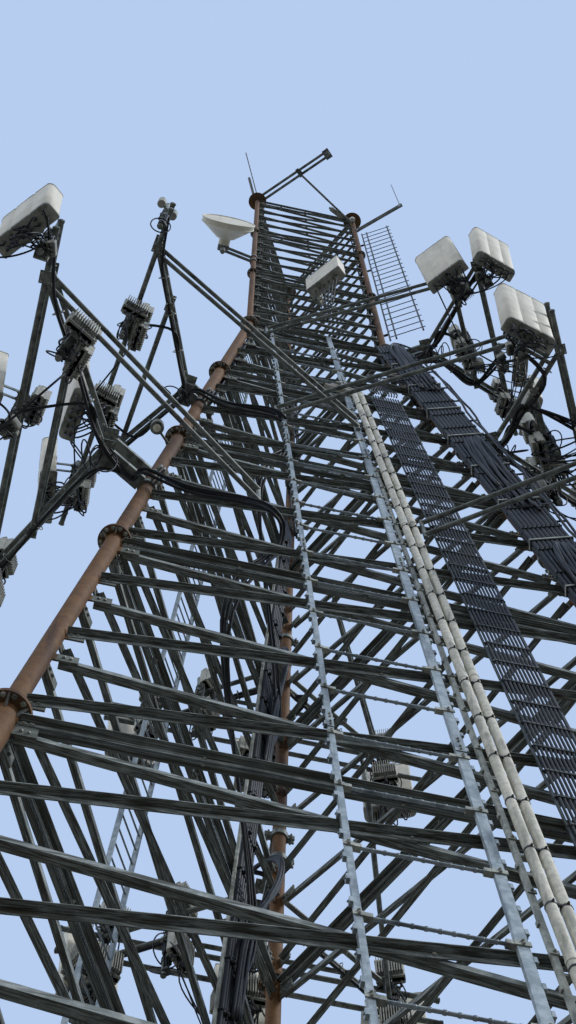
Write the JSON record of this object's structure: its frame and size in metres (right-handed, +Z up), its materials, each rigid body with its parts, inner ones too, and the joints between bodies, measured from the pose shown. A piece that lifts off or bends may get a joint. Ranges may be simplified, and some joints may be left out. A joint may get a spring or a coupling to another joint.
{
  "type": "lattice radio tower, 1:2 scale model",
  "caption": "Three-legged lattice radio tower with cross bracing, cable runs, ladders and antenna mounts, as a 1:2 scale model.",
  "frame": {"origin": "centre of the underside of the back leg's base plate", "axes": "+Z up; the front side with the wide ladder faces -Y; +X to the right seen from the front"},
  "size_m": [4.9562, 4.9517, 31.8003],
  "materials": {
    "antenna_cover": "matte",
    "base_steel": "weathered galvanised",
    "bracing_steel": "weathered galvanised",
    "cable_jacket": "satin",
    "cable_ladder_steel": "weathered",
    "conduit_pipe": "satin",
    "dish_cover": "matte",
    "ladder_zinc": "galvanised",
    "leg_paint": "weathered",
    "marker_lens": "satin",
    "mount_steel": "weathered galvanised",
    "radio_case": "satin",
    "rod_metal": "weathered",
    "support_steel": "galvanised",
    "upper_mount_steel": "weathered galvanised",
    "whip_cover": "satin"
  },
  "bodies": {
    "root": {"left_leg_tapered": "leg_paint", "right_leg_tapered": "leg_paint", "back_leg_tapered": "leg_paint", "left_leg_straight": "leg_paint", "right_leg_straight": "leg_paint", "back_leg_straight": "leg_paint", "front_bracing_tapered": "bracing_steel", "right_bracing_tapered": "bracing_steel", "left_bracing_tapered": "bracing_steel", "front_bracing_straight": "bracing_steel", "right_bracing_straight": "bracing_steel", "left_bracing_straight": "bracing_steel", "base_plates": "base_steel", "front_ladder": "ladder_zinc", "conduits": "conduit_pipe", "conduit_supports": "support_steel", "leg_coax": "cable_jacket", "leg_coax_hangers": "support_steel", "cable_ladder": "cable_ladder_steel", "ladder_cables": "cable_jacket", "inner_coax": "cable_jacket", "inner_coax_ladder": "support_steel", "climbing_ladder": "ladder_zinc", "standoff_ladder": "cable_ladder_steel", "left_lower_frame": "mount_steel", "left_upper_frame": "mount_steel", "right_lower_frame": "mount_steel", "right_upper_frame": "mount_steel", "right_top_frame": "mount_steel", "back_lower_frame": "mount_steel", "back_upper_frame": "mount_steel", "left_panel_antennas": "antenna_cover", "right_panel_antennas": "antenna_cover", "back_panel_antennas": "antenna_cover", "left_radio_units": "radio_case", "right_radio_units": "radio_case", "back_radio_units": "radio_case", "dish_antenna": "dish_cover", "dish_bracket": "upper_mount_steel", "small_panel": "antenna_cover", "top_boom": "upper_mount_steel", "side_arm": "upper_mount_steel", "whip_antennas": "whip_cover", "lightning_rod": "rod_metal", "marker_light": "marker_lens"}
  },
  "joints": []
}
